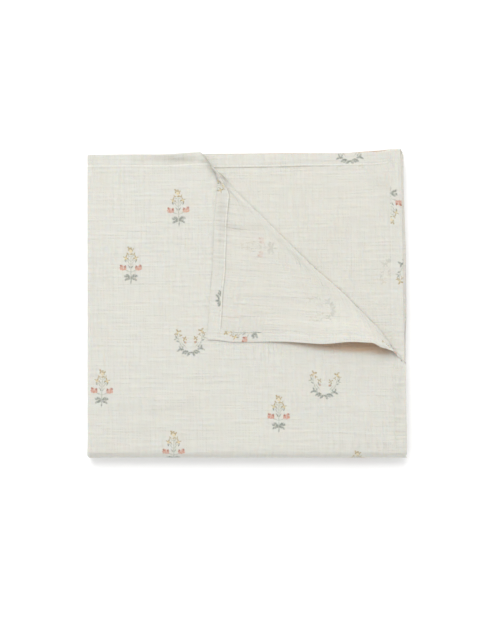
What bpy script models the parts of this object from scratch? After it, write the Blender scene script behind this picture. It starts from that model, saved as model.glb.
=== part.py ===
"""A swaddle blanket: one muslin sheet, folded into a packet of sixteen layers with its top corner turned back.

The sheet starts as a flat slab with its printed side up, placed so that the panel that ends on top is already
where it stays. Its corner is turned over, and the rest is then folded under four times, the way it is done by
hand. Lengths are in metres and +Z is up. The origin is under the middle of the packet, on its resting face.
"""
import math
from collections import namedtuple

import bmesh
import bpy
from mathutils import Vector

NAME = "swaddle_blanket"

# The packet as it lies, seen from above
PACKET_WIDTH = 0.302
PACKET_DEPTH = 0.289

# The cloth and the air between its layers
SHEET = 0.0010
GAP = 0.00035
PITCH = SHEET + GAP

# How far a fold stands out past its crease line, as a share of its radius
BULGE = 0.75

# How far the inner folds and the sheet's far edges stop short of the packet's outline
FIRST_FOLD_INSET = 0.0025
SECOND_FOLD_INSET = 0.0015
FAR_EDGE_INSET_X = 0.0015
FAR_EDGE_INSET_Y = 0.0010

# The turned corner: where its fold edge lies, out from the packet's middle
CORNER_REACH = 0.0700
CORNER_ANGLE = 44.6

# The plan is a little out of square: the right side leans in and the top side rises to the right
RIGHT_SIDE_LEAN = 0.0034
TOP_SIDE_RISE = 0.0021

# The stack is a little higher in the middle of each side that is folded, and lower at its open corner
LOFT_ALONG = 0.035
LOFT_ACROSS = 0.045

# Cuts that let the layers follow the loft
CUTS_ACROSS = 6
CUTS_ALONG = 6

UNDER = 1
OVER = -1

Crease = namedtuple("Crease", "name turn heading tilt layers line arc steps")


def radius_of(layers):
    """Radius of the middle of the outermost sheet where this many layers are folded together."""
    return (layers - 0.5) * PITCH


def reach_of(layers):
    """How far a fold of this many layers stands out past its crease line."""
    return BULGE * (radius_of(layers) + SHEET / 2)


def arc_of(layers):
    """Length of the outermost sheet around its fold, which is half an ellipse."""
    return math.pi * radius_of(layers) * math.sqrt((1 + BULGE ** 2) / 2)


def inner_fold_end(outer_line, outer_arc, half_size, inset):
    """Coordinate of an inner fold's end before the outer fold brings it back inside the packet."""
    return 2 * outer_line - outer_arc - half_size + inset


def far_edge(line, arc, half_size, inset):
    """Coordinate of the sheet's far edge, which ends up over the near edge once the sheet is doubled."""
    return 2 * line - arc - half_size + inset


FLAP_LEVEL = radius_of(1)
HALF_WIDTH = PACKET_WIDTH / 2
HALF_DEPTH = PACKET_DEPTH / 2
LINE_LEFT = -HALF_WIDTH + reach_of(4)
LINE_BOTTOM = -HALF_DEPTH + reach_of(8)
LINE_FIRST = inner_fold_end(LINE_BOTTOM, arc_of(8), HALF_DEPTH, FIRST_FOLD_INSET) + reach_of(1)
LINE_SECOND = inner_fold_end(LINE_LEFT, arc_of(4), HALF_WIDTH, SECOND_FOLD_INSET) + reach_of(2)
SHEET_LEFT = far_edge(LINE_SECOND, arc_of(2), HALF_WIDTH, FAR_EDGE_INSET_X)
SHEET_BOTTOM = far_edge(LINE_FIRST, arc_of(1), HALF_DEPTH, FAR_EDGE_INSET_Y)

# In folding order. heading is where the folded part lies, in degrees from +X, and line is the crease's
# distance from the middle in that heading.
CREASES = (
    #      name      turn   heading       tilt  layers line                      arc         steps
    Crease("corner", OVER,  CORNER_ANGLE, 0.00, 1,     CORNER_REACH - reach_of(1), arc_of(1), 4),
    Crease("first",  UNDER, -90,          0.10, 1,     -LINE_FIRST,              arc_of(1),  4),
    Crease("second", UNDER, 180,         -0.08, 2,     -LINE_SECOND,             arc_of(2),  6),
    Crease("left",   UNDER, 180,          0.05, 4,     -LINE_LEFT,               arc_of(4),  6),
    Crease("bottom", UNDER, -90,         -0.04, 8,     -LINE_BOTTOM,             arc_of(8),  8),
)

# How the turned corner settles: its hems draw it in from where a sharp fold would lay it, and its fold edge
# bows. Each row gives a place along the edge and the shift there: along +Y and towards +X for the left hem,
# along +X and towards +Y for the lower hem, and down the fold edge and outwards for the bow.
Shift = namedtuple("Shift", "place along shift")
LEFT_HEM = (
    Shift("corner of the flap", -0.0510, 0.0091),
    Shift("below the middle",   -0.0100, 0.0108),
    Shift("above the middle",    0.0680, 0.0147),
    Shift("under the roll",      0.1110, 0.0144),
    Shift("on the roll",         0.1250, 0.0110),
    Shift("at the fold",         0.1440, 0.0000),
)
LOWER_HEM = (
    Shift("corner of the flap", -0.0420, 0.0187),
    Shift("first dip",           0.0200, 0.0172),
    Shift("lifted",              0.0905, 0.0187),
    Shift("end of the lift",     0.1174, 0.0178),
    Shift("in the neck",         0.1300, 0.0126),
    Shift("behind the neck",     0.1433, 0.0053),
    Shift("at the fold",         0.1490, 0.0000),
)
BOW = (
    Shift("upper end",         -0.1315, 0.0000),
    Shift("on the roll",       -0.1040, -0.0014),
    Shift("upper third",       -0.0495, 0.0016),
    Shift("middle",             0.0050, 0.0022),
    Shift("lower third",        0.0650, 0.0052),
    Shift("above the lift",     0.1030, 0.0050),
    Shift("in the neck",        0.1280, 0.0015),
    Shift("lower end",          0.1418, 0.0000),
)
HEM_HOLD = 0.024
FLAP_FOOT = -0.053
BOW_WIDTH = 0.030

# The lower edge of the turned corner stands clear of the layer below it
LIFT = 0.0030
LIFT_FROM = 0.0250
LIFT_TO = 0.1400
LIFT_DEPTH = 0.0450


def direction(degrees):
    """Unit vector in the plan at this angle from +X."""
    return Vector((math.cos(math.radians(degrees)), math.sin(math.radians(degrees)), 0))


def mix(start, end, share):
    """Value at this share of the way from start to end."""
    return start + (end - start) * share


def ease(share):
    """Soft step from 0 to 1."""
    share = min(max(share, 0), 1)
    return share * share * (3 - 2 * share)


def read_shift(rows, along):
    """Shift at a place along an edge, eased from row to row."""
    for low, high in zip(rows, rows[1:]):
        if along < high.along:
            return mix(low.shift, high.shift, ease((along - low.along) / (high.along - low.along)))
    return rows[-1].shift


def start_scene():
    """Remove every object of the scene."""
    for thing in list(bpy.data.objects):
        bpy.data.objects.remove(thing, do_unlink=True)


def make_slab():
    """The sheet laid out flat, as a closed slab around z = 0."""
    mesh = bmesh.new()
    bmesh.ops.create_cube(mesh, size=1)
    size = Vector((HALF_WIDTH - SHEET_LEFT, HALF_DEPTH - SHEET_BOTTOM, SHEET))
    middle = Vector(((HALF_WIDTH + SHEET_LEFT) / 2, (HALF_DEPTH + SHEET_BOTTOM) / 2, 0))
    bmesh.ops.scale(mesh, vec=size, verts=mesh.verts)
    bmesh.ops.translate(mesh, vec=middle, verts=mesh.verts)
    return mesh


def cut(mesh, point, normal, faces=None):
    """Cut faces along a plane, and leave both sides where they are."""
    faces = list(mesh.faces) if faces is None else faces
    edges = {edge for face in faces for edge in face.edges}
    verts = {vert for face in faces for vert in face.verts}
    bmesh.ops.bisect_plane(mesh, geom=[*verts, *edges, *faces], dist=1e-6, plane_co=point, plane_no=normal)


def fold(mesh, crease):
    """Fold what lies past a crease under or over the rest."""
    away = direction(crease.heading + crease.tilt)
    start = direction(crease.heading) * crease.line
    centre = -crease.turn * radius_of(crease.layers)
    for step in range(crease.steps + 1):
        cut(mesh, start + away * crease.arc * step / crease.steps, away)
    for vert in mesh.verts:
        past = (vert.co - start).dot(away)
        if past <= 0:
            continue
        radius = crease.turn * (vert.co.z - centre)
        angle = min(past / crease.arc, 1) * math.pi
        landing = BULGE * radius * math.sin(angle) - max(past - crease.arc, 0)
        vert.co += away * (landing - past)
        vert.co.z = centre + crease.turn * radius * math.cos(angle)


def cut_flap(mesh, rows, normal):
    """Cut the turned corner at each row's place."""
    for row in rows[1:-1]:
        flap = [face for face in mesh.faces if face.calc_center_median().z > FLAP_LEVEL]
        cut(mesh, normal * row.along, normal, flap)


def lift_at(x, y):
    """How far the lower edge of the turned corner stands clear of the layer below it."""
    if not LIFT_FROM < x < LIFT_TO:
        return 0
    wave = math.sin(math.pi * (x - LIFT_FROM) / (LIFT_TO - LIFT_FROM)) ** 2
    return LIFT * wave * ease(1 - (y - FLAP_FOOT) / LIFT_DEPTH)


def settle_corner(mesh):
    """Draw in the hems of the turned corner, lift its lower edge and bow its fold edge."""
    away = direction(CORNER_ANGLE)
    along = direction(CORNER_ANGLE - 90)
    cut_flap(mesh, LEFT_HEM, Vector((0, 1, 0)))
    cut_flap(mesh, LOWER_HEM, Vector((1, 0, 0)))
    for row in BOW[1:-1]:
        near = [face for face in mesh.faces
                if abs(face.calc_center_median().dot(away) - CORNER_REACH) < BOW_WIDTH]
        cut(mesh, along * row.along, along, near)
    for vert in mesh.verts:
        x, y = vert.co.x, vert.co.y
        inward = CORNER_REACH - vert.co.dot(away)
        bow = read_shift(BOW, vert.co.dot(along)) * (1 - ease(abs(inward) / BOW_WIDTH))
        if vert.co.z > FLAP_LEVEL:
            fold_edge = (CORNER_REACH - x * away.x) / away.y
            up_column = min(max((fold_edge - y) / (fold_edge - FLAP_FOOT), 0), 1)
            vert.co.x += read_shift(LEFT_HEM, y) * ease(inward / HEM_HOLD)
            vert.co.y += read_shift(LOWER_HEM, x) * up_column
            vert.co.z += lift_at(x, y) * ease(inward / HEM_HOLD)
        vert.co += away * bow


def stand_on_floor(mesh):
    """Raise the packet until its lowest layer rests on z = 0."""
    lowest = min(vert.co.z for vert in mesh.verts)
    bmesh.ops.translate(mesh, vec=(0, 0, -lowest), verts=mesh.verts)


def shape_packet(mesh):
    """Lean the open sides and loft the stack, with the resting face kept flat."""
    for step in range(1, CUTS_ACROSS + 1):
        cut(mesh, Vector((mix(-HALF_WIDTH, HALF_WIDTH, step / (CUTS_ACROSS + 1)), 0, 0)), Vector((1, 0, 0)))
    for step in range(1, CUTS_ALONG + 1):
        cut(mesh, Vector((0, mix(-HALF_DEPTH, HALF_DEPTH, step / (CUTS_ALONG + 1)), 0)), Vector((0, 1, 0)))
    for vert in mesh.verts:
        right = vert.co.x / PACKET_WIDTH + 0.5
        up = vert.co.y / PACKET_DEPTH + 0.5
        loft = 1 + LOFT_ALONG * math.sin(math.pi * right) - LOFT_ACROSS * right * up
        vert.co.x -= RIGHT_SIDE_LEAN * right * up
        vert.co.y += TOP_SIDE_RISE * (right - 1) * up
        vert.co.z *= loft


def make_material():
    """Cream muslin."""
    material = bpy.data.materials.new("cream_muslin")
    material.use_nodes = True
    shader = material.node_tree.nodes["Principled BSDF"]
    shader.inputs["Base Color"].default_value = (0.80, 0.77, 0.68, 1)
    shader.inputs["Roughness"].default_value = 0.92
    shader.inputs["Metallic"].default_value = 0
    return material


def make_blanket():
    """Fold the sheet and put it in a collection of its own."""
    sheet = make_slab()
    for crease in CREASES:
        fold(sheet, crease)
        if crease.name == "corner":
            settle_corner(sheet)
    stand_on_floor(sheet)
    shape_packet(sheet)
    bmesh.ops.triangulate(sheet, faces=sheet.faces)
    data = bpy.data.meshes.new(NAME)
    sheet.to_mesh(data)
    sheet.free()
    data.materials.append(make_material())
    blanket = bpy.data.objects.new(NAME, data)
    collection = bpy.data.collections.new(NAME)
    bpy.context.scene.collection.children.link(collection)
    collection.objects.link(blanket)


start_scene()
make_blanket()
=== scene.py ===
"""Looks of the folded swaddle blanket: printed double gauze with stitched hems, on a white studio floor.

The cloth is one closed sheet, laid out flat on a grid and carried round the same folds as the solid. Lengths
are in metres unless a comment says otherwise. u and v are places on the flat sheet, and match x and y on the
panel that ends on top.
"""
import math
from collections import namedtuple

import bmesh
import bpy
import numpy as np
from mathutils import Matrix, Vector


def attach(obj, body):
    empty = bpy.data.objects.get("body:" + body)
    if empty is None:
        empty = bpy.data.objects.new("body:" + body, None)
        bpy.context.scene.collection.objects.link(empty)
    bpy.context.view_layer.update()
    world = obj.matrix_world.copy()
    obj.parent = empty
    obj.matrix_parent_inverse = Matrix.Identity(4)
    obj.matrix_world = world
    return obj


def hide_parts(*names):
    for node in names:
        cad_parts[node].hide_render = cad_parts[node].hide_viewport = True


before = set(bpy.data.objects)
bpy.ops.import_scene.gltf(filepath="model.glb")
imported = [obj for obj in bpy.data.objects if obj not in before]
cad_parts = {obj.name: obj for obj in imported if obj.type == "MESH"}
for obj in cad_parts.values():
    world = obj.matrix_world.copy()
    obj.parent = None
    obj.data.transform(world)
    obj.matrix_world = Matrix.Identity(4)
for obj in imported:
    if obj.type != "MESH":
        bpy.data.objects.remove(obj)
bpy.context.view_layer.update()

NODE = "swaddle_blanket"
MM = 0.001

# ---- Sizes of the folded cloth, as in the solid ----

PACKET_WIDTH = 0.302
PACKET_DEPTH = 0.289
HALF_WIDTH = PACKET_WIDTH / 2
HALF_DEPTH = PACKET_DEPTH / 2
PITCH = 0.00135
BULGE = 0.75

# The visible cloth is thinner than the solid's slab, which leaves room for its hems and crinkle
SOLID_SHEET = 0.0010
CLOTH = 0.00080
HEM = 0.0115
HEM_RISE = 0.00016

FIRST_FOLD_INSET = 0.0025
SECOND_FOLD_INSET = 0.0015
FAR_EDGE_INSET_X = 0.0015
FAR_EDGE_INSET_Y = 0.0010

CORNER_REACH = 0.0700
CORNER_ANGLE = 44.6

RIGHT_SIDE_LEAN = 0.0034
TOP_SIDE_RISE = 0.0021
LOFT_ALONG = 0.035
LOFT_ACROSS = 0.045

# How far the layers below the top two slip out of line. A wave's length is what it takes for one radian.
LAYER_SLIP = 0.0009
TOP_TWO = 0.0175
TOP_TWO_RUN = 0.003
SLIP_X_BY_HEIGHT = 0.0023
SLIP_X_BY_Y = 0.050
SLIP_Y_BY_HEIGHT = 0.0019
SLIP_Y_BY_X = 0.061
SLIP_Y_START = 2

# How far the packet's corners are pulled out of square, and where that begins
CORNER_PULL = 0.0045
CORNER_PULL_FROM = (0.118, 0.105)
CORNER_PULL_RUN = (0.028, 0.030)
TOP_CORNER_RISE = 0.0020
TOP_CORNER_FROM = 0.04
TOP_CORNER_RUN = 0.11
NEAR_CORNER_PULL = 0.0009
NEAR_CORNER_WIDTH = 0.008

# The uneven loft is a broad pattern of swells, with slanting ones on top
UNEVEN_LOFT = 0.016
SWELL_X = 0.037
SWELL_Y = 0.045
SWELL_START_X = 1.1
SWELL_START_Y = 0.4
SLANT_X = 0.019
SLANT_Y = 0.027
SLANT_SHARE = 0.6

# The sheet's edges waver. A wave has a length, a start that differs from edge to edge, and a share.
EDGE_DRIFT = 0.00030
EDGE_DRIFT_REACH = 0.030
DRIFT_WAVES = ((0.0310, 9, 1.0), (0.0117, 31, 0.5))

UNDER = 1
OVER = -1


def radius_of(layers):
    """Radius of the outermost sheet's middle where this many layers are folded."""
    return (layers - 0.5) * PITCH


def reach_of(layers):
    """How far a fold of this many layers stands out past its crease line."""
    return BULGE * (radius_of(layers) + SOLID_SHEET / 2)


def arc_of(layers):
    """Length of the outermost sheet around its fold."""
    return math.pi * radius_of(layers) * math.sqrt((1 + BULGE ** 2) / 2)


LINE_LEFT = -HALF_WIDTH + reach_of(4)
LINE_BOTTOM = -HALF_DEPTH + reach_of(8)
LINE_FIRST = 2 * LINE_BOTTOM - arc_of(8) - HALF_DEPTH + FIRST_FOLD_INSET + reach_of(1)
LINE_SECOND = 2 * LINE_LEFT - arc_of(4) - HALF_WIDTH + SECOND_FOLD_INSET + reach_of(2)
SHEET_LEFT = 2 * LINE_SECOND - arc_of(2) - HALF_WIDTH + FAR_EDGE_INSET_X
SHEET_BOTTOM = 2 * LINE_FIRST - arc_of(1) - HALF_DEPTH + FAR_EDGE_INSET_Y

Crease = namedtuple("Crease", "name turn heading tilt layers line")
CREASES = (
    #      name      turn   heading       tilt  layers line
    Crease("corner", OVER,  CORNER_ANGLE, 0.00, 1,     CORNER_REACH - reach_of(1)),
    Crease("first",  UNDER, -90,          0.10, 1,     -LINE_FIRST),
    Crease("second", UNDER, 180,         -0.08, 2,     -LINE_SECOND),
    Crease("left",   UNDER, 180,          0.05, 4,     -LINE_LEFT),
    Crease("bottom", UNDER, -90,         -0.04, 8,     -LINE_BOTTOM),
)

# How the turned corner settles: a place along an edge, where it is, and the shift there, in millimetres
LEFT_HEM = (
    ("corner",      -51.0, 10.0),
    ("lower",       -10.0, 11.7),
    ("middle",       29.0, 14.2),
    ("upper",        68.0, 15.4),
    ("under roll",  113.0, 17.8),
    ("roll foot",   121.6, 16.5),
    ("on roll",     130.4, 11.2),
    ("roll top",    138.5,  5.8),
    ("at fold",     144.0,  1.0),
)
LOWER_HEM = (
    ("corner",      -42.0, 18.7),
    ("by corner",   -22.0, 17.0),
    ("first dip",    27.0, 17.7),
    ("second dip",   61.0, 16.6),
    ("lifted",       90.5, 18.7),
    ("lift end",    107.5, 18.1),
    ("into neck",   119.0, 13.1),
    ("along neck",  129.0, 10.6),
    ("past neck",   143.3,  4.5),
    ("at fold",     149.0,  0.0),
)
BOW = (
    ("upper end",  -131.5,  2.2),
    ("on roll",    -113.0,  0.8),
    ("at tuck",    -101.0,  2.0),
    ("below tuck",  -86.0,  0.6),
    ("upper",       -49.5,  1.6),
    ("middle",        5.0,  2.2),
    ("lower",        65.0,  5.2),
    ("above lift",  103.0,  5.0),
    ("in neck",     128.0,  1.5),
    ("lower end",   141.8,  0.0),
)
HEM_HOLD = 0.024
FLAP_FOOT = -0.053
BOW_WIDTH = 0.030

# The lower edge of the turned corner stands clear of the layer below it, highest near its right end
LIFT = 0.0110
LIFT_FROM = -0.0080
LIFT_PEAK = 0.1150
LIFT_TO = 0.1500
LIFT_DEPTH = 0.0500
LIFT_HOLD = 0.0170

# Near its upper end the turned corner's hem rolls up, and elsewhere its edges press down on the cloth below
ROLL = 0.0024
ROLL_FROM = 0.1160
ROLL_ROOM = 0.0080
PRESS = 0.00042
PRESS_WIDTH = 0.0160

# Right at the turned corner's fold the gauze is squeezed thin and lies lower still
SQUEEZE = 0.45
SQUEEZE_WIDTH = 0.0095
SQUEEZE_SINK = 0.00020
SQUEEZE_SINK_FLAP = 0.00038

# ---- Main creases and puffs ----

# A row is a soft ridge, or a trough where its height is below zero, from one point of the packet to another,
# in millimetres. Its painted shade is laid on top, as a share of CREASE_SHADE; a row with no height is
# painted shade alone.
WRINKLES = {"flap": (
    #  x0      y0    x1      y1 width height shade
    ( -42,  145.0,  -21,  109.0, 1.6,  1.70, 0.00),
    ( -45,  143.0,  -24,  112.0, 1.2,  0.00, 0.75),
    ( -38,  145.0,  -17,  111.0, 1.3, -0.70, 0.70),
    ( -20,  118.0,  -13,  112.0, 1.2,  0.70, 0.00),
    ( -19,  120.0,  -15,  114.0, 1.2,  0.00, 0.40),
    ( -32,  104.0,  -14,  103.5, 1.1, -0.22, 0.20),
    ( -32,   92.5,  -13,   93.0, 1.2, -0.20, 0.18),
    ( -32,   86.5,  -14,   86.2, 1.0, -0.18, 0.14),
    ( -32,   73.5,   24,   72.2, 1.6, -0.40, 0.24),
    ( -30,   76.8,   26,   75.9, 1.1, -0.10, 0.14),
    ( -32,   60.0,  -12,   59.5, 1.2, -0.20, 0.14),
    ( -24,  115.0,  -24,   50.0, 5.0,  0.00, 0.09),
    ( -28,   35.0,   35,   33.0, 3.0, -0.25, 0.03),
    ( -20,   12.0,   70,    9.0, 4.0,  0.40, 0.00),
    ( -10,   -8.0,   82,  -11.0, 3.5, -0.25, 0.03),
    (   0,  -19.0,  100,  -20.0, 4.0,  0.45, 0.00),
    (  60,    1.0,  105,  -11.0, 5.0,  0.60, 0.00),
    (  94,  -30.0,  134,  -39.0, 4.5,  0.80, 0.00),
), "front": (
    ( -43,  140.5,  -29,  119.0, 1.8,  0.00, 0.30),
    ( -46,  136.4,  -36,  135.4, 1.8, -0.20, 0.40),
    (-112,  137.2,  -40,  136.2, 4.2, -0.50, 0.20),
    ( -75,  138.5,  -38,  136.0, 2.2, -0.25, 0.16),
    (-100,  131.0,  -45,  131.0, 3.0,  0.45, 0.00),
    (-140,  -90.0,  -45,  -87.0, 7.0,  0.50, 0.00),
    (-148, -101.0,  -30,  -98.5, 5.0, -0.35, 0.05),
    (-150, -113.0,  -60, -110.0, 6.0,  0.45, 0.00),
    (-120, -122.0,  -20, -121.5, 5.0, -0.30, 0.04),
    (-135,   26.0,  -70,   30.0, 9.0,  0.45, 0.00),
    (-145,   98.0,  -80,  101.0, 8.0,  0.40, 0.00),
    (  20,  -95.0,  100,  -90.0,  10,  0.40, 0.00),
    # Painted shade alone, darker along the bottom fold, which turns away from the light
    (-200, -144.0,  200, -143.0, 7.5,  0.00, 0.07),
    (  60, -139.0,  165, -139.0, 5.0,  0.00, 0.08),
), "inner": (
    ( 112,  115.5,  141,  114.0, 2.8, -0.60, 0.12),
    ( 118,  121.5,  140,  121.0, 3.2,  0.60, 0.00),
    (  20,  112.0,  110,  113.0, 6.0,  0.45, 0.00),
    (  60,   84.0,  125,   80.0, 9.0,  0.45, 0.00),
    (  90,   38.0,  128,   36.0, 8.0,  0.40, 0.00),
)}

# How far a long crease wanders from its line, and which share of it each end takes to fade
WANDER = 0.0012
WANDER_LENGTH = 0.017
WANDER_START = 40
WANDER_FROM = 0.060
WRINKLE_FADE = 0.3

# Short ridges across the hems, in millimetres. A row's middle and width are measured in from the edge.
PUCKERS = (
    # name              hem     start  end pitch middle width height
    ("flap's left hem",  "top",      0,  92, 4.7,  7.5, 6.5, 0.36),
    ("flap's roll",      "top",    -35,   5, 6.0,  6.0, 6.0, 0.20),
    ("top hem",          "top",   -115, -42, 9.5,  4.5, 5.0, 0.22),
    ("flap's lower hem", "right",  -35, 135, 8.0, 10.5, 5.0, 0.10),
    ("right hem",        "right", -145, -56, 8.2,  7.0, 6.0, 0.34),
    ("bottom edge",      "fold",    70, 148, 7.2,  3.0, 6.0, 0.24),
)

# Puckers come unevenly, fade at the ends of their row, and get painted shade in their troughs
PUCKER_WAVES = ((0.0110, 1.6), (0.0041, 0.8))
PUCKER_FADE = 0.012
PUCKER_DEPTH = 0.0003
PUCKER_SHADE = 0.17

# ---- The print: a sparse scatter of two sprigs ----

# A row gives a sprig's middle in millimetres and its turn in degrees. On the front panel the turned corner is
# taken as laid back with its hems opened out, and the inner panel and its top and side hems as they lie.
POSY = 1
GARLAND = 2
SPRIGS = (
    # kind   panel         x       y  turn
    (POSY,    "front",  -64.0,   93.0,  2),
    (POSY,    "front", -109.3,   38.5,  0),
    (POSY,    "front", -136.8,  -78.0, -2),
    (POSY,    "front",   30.2, -102.5, -1),
    (POSY,    "front",  -69.2, -136.0,  0),
    (GARLAND, "front",  -53.0,  -33.0,  3),
    (GARLAND, "front",   74.0,  -73.8, -4),
    (POSY,    "front",  104.5, -155.0,  0),
    (POSY,    "front",   49.8,  101.2,  0),
    (GARLAND, "front",  111.7,   39.0, -5),
    (POSY,    "front",  -10.0,  140.0,  4),
    (GARLAND, "front",  107.0,  164.0,  0),
    (POSY,    "front",  161.0,  111.0,  0),
    (POSY,    "front",  162.0,  -39.0,  0),
    (GARLAND, "top",    102.0,  146.4,  0),
    (POSY,    "side",   140.5,   93.5,  0),
    (GARLAND, "inner",  143.0,   31.1,  0),
)
# The underside's sprigs stand in rows of their own, every other row set aside by a share of the spacing
UNDERSIDE_COLUMNS = 3
UNDERSIDE_ROWS = 6
UNDERSIDE_INSET = 0.3
UNDERSIDE_STAGGER = 0.4


# ---- Folding, for whole arrays of points ----

def ease(share):
    """Soft step from 0 to 1."""
    share = np.clip(share, 0, 1)
    return share * share * (3 - 2 * share)


def direction(degrees):
    """Unit vector in the plan at this angle from +X."""
    return np.array((math.cos(math.radians(degrees)), math.sin(math.radians(degrees)), 0))


def read_shift(rows, along):
    """Shift at places along an edge, eased from row to row."""
    shift = np.full_like(along, rows[0][2])
    for (_, start, before), (_, end, after) in zip(rows, rows[1:]):
        shift += (after - before) * ease((along / MM - start) / (end - start))
    return shift * MM


def fold(points, crease):
    """Fold what lies past a crease, and return how far round the fold each point is, from 0 to 1."""
    away = direction(crease.heading + crease.tilt)
    start = direction(crease.heading) * crease.line
    centre = -crease.turn * radius_of(crease.layers)
    arc = arc_of(crease.layers)
    past = (points - start) @ away
    turned = np.clip(past / arc, 0, 1)
    radius = crease.turn * (points[:, 2] - centre)
    landing = np.minimum(past, 0) + BULGE * radius * np.sin(turned * math.pi) - np.maximum(past - arc, 0)
    points += np.outer(landing - past, away)
    points[:, 2] = centre + crease.turn * radius * np.cos(turned * math.pi)
    return turned


def lift_share(x):
    """How far along its rise the lifted edge is, from 0 to 1."""
    return ease((x - LIFT_FROM) / (LIFT_PEAK - LIFT_FROM)) * ease((LIFT_TO - x) / (LIFT_TO - LIFT_PEAK))


def settle_corner(points, turned, flat):
    """Draw in the hems of the turned corner, roll, lift and press its edges, and bow its fold edge."""
    away = direction(CORNER_ANGLE)
    along = direction(CORNER_ANGLE - 90)
    x = points[:, 0].copy()
    y = points[:, 1].copy()
    inward = CORNER_REACH - points @ away
    near_edge = 1 - ease(np.abs(inward) / BOW_WIDTH)
    bow = read_shift(BOW, points @ along) * near_edge
    flap = ease(2 * turned - 1)
    fold_edge = (CORNER_REACH - x * away[0]) / away[1]
    up_column = np.clip((fold_edge - y) / np.maximum(fold_edge - FLAP_FOOT, MM), 0, 1)
    from_fold = np.maximum(inward, 0) / away[0]
    to_hem = np.maximum(HALF_DEPTH - flat[:, 1], 0)
    across_row = from_fold / np.maximum(from_fold + to_hem, MM)
    held = ease(inward / HEM_HOLD)
    lifted = lift_share(x) * ease(1 - (y - FLAP_FOOT) / LIFT_DEPTH) * ease(inward / LIFT_HOLD) * flap
    points[:, 0] += read_shift(LEFT_HEM, y) * np.maximum(held, across_row) * flap
    points[:, 1] += read_shift(LOWER_HEM, x) * up_column * flap
    points[:, 2] += LIFT * lifted
    points[:, 2] += ROLL * np.sin(math.pi * across_row) * ease((y - ROLL_FROM) / ROLL_ROOM) * flap
    by_fold = 1 - ease(np.abs(inward) / PRESS_WIDTH)
    by_hem = 1 - ease(edge_distance(flat[:, 0], flat[:, 1]) / PRESS_WIDTH)
    points[:, 2] -= PRESS * (by_fold + flap * np.maximum(by_fold, by_hem)) * (1 - lifted)
    squeezed = 1 - ease(np.abs(inward) / SQUEEZE_WIDTH)
    points[:, 2] -= (SQUEEZE_SINK + SQUEEZE_SINK_FLAP * flap) * squeezed
    points += np.outer(bow, away)


def shape_packet(points):
    """Lean and loft the stack, as in the solid."""
    right = points[:, 0] / PACKET_WIDTH + 0.5
    up = points[:, 1] / PACKET_DEPTH + 0.5
    loft = 1 + LOFT_ALONG * np.sin(math.pi * right) - LOFT_ACROSS * right * up
    points[:, 0] -= RIGHT_SIDE_LEAN * right * up
    points[:, 1] += TOP_SIDE_RISE * (right - 1) * up
    points[:, 2] *= loft


def loosen_layers(points):
    """Let the layers lie a little out of line, as hand folding leaves them."""
    x, y, z = points[:, 0].copy(), points[:, 1].copy(), points[:, 2].copy()
    right = x / PACKET_WIDTH + 0.5
    up = y / PACKET_DEPTH + 0.5
    below_top = 1 - ease((z - TOP_TWO) / TOP_TWO_RUN)
    held_left = np.sin(math.pi / 2 * np.clip(right, 0, 1))
    slip_x = np.sin(z / SLIP_X_BY_HEIGHT + y / SLIP_X_BY_Y) * held_left
    slip_y = np.sin(z / SLIP_Y_BY_HEIGHT + x / SLIP_Y_BY_X + SLIP_Y_START) * ease(2 * up)
    far_corner = ease((x - CORNER_PULL_FROM[0]) / CORNER_PULL_RUN[0])
    far_corner = far_corner * ease((y - CORNER_PULL_FROM[1]) / CORNER_PULL_RUN[1])
    top_corner = ease((x - TOP_CORNER_FROM) / TOP_CORNER_RUN) * ease(2 * up - 1)
    points[:, 0] += LAYER_SLIP * slip_x * below_top
    points[:, 1] += LAYER_SLIP * slip_y * below_top + CORNER_PULL * far_corner * below_top
    points[:, 1] += TOP_CORNER_RISE * top_corner * (1 - below_top)
    near_corner = np.exp(-((x + HALF_WIDTH) ** 2 + (y + HALF_DEPTH) ** 2) / NEAR_CORNER_WIDTH ** 2)
    points[:, :2] -= NEAR_CORNER_PULL * near_corner[:, None]
    swell = np.sin(x / SWELL_X + SWELL_START_X) * np.sin(y / SWELL_Y + SWELL_START_Y)
    swell += SLANT_SHARE * np.sin(x / SLANT_X + y / SLANT_Y)
    points[:, 2] *= 1 + UNEVEN_LOFT * swell


def wrinkle_height(x, y, part):
    """Height and painted shade of one part's main creases at these places of the packet."""
    height = np.zeros_like(x)
    shade = np.zeros_like(x)
    for *lengths, dark in WRINKLES[part]:
        x0, y0, x1, y1, width, rise = (MM * length for length in lengths)
        length = math.hypot(x1 - x0, y1 - y0)
        ahead = ((x1 - x0) / length, (y1 - y0) / length)
        run = (x - x0) * ahead[0] + (y - y0) * ahead[1]
        off = (y - y0) * ahead[0] - (x - x0) * ahead[1]
        wander = WANDER * np.sin(run / WANDER_LENGTH + WANDER_START * y0) * min(1, length / WANDER_FROM)
        fade = ease(run / (WRINKLE_FADE * length)) * ease((length - run) / (WRINKLE_FADE * length))
        profile = fade * np.exp(-((off - wander) / width) ** 2)
        height += rise * profile
        shade += dark * profile
    return height, shade


def drift_edges(points):
    """Waver the sheet's edges, which were cut and hemmed by hand."""
    u, v = points[:, 0].copy(), points[:, 1].copy()
    for axis, along, ends in ((0, v, (SHEET_LEFT, HALF_WIDTH)), (1, u, (SHEET_BOTTOM, HALF_DEPTH))):
        for end in ends:
            near = 1 - ease(np.abs(points[:, axis] - end) / EDGE_DRIFT_REACH)
            wave = sum(share * np.sin(along / length + turn * end) for length, turn, share in DRIFT_WAVES)
            points[:, axis] += EDGE_DRIFT * wave * near


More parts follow.
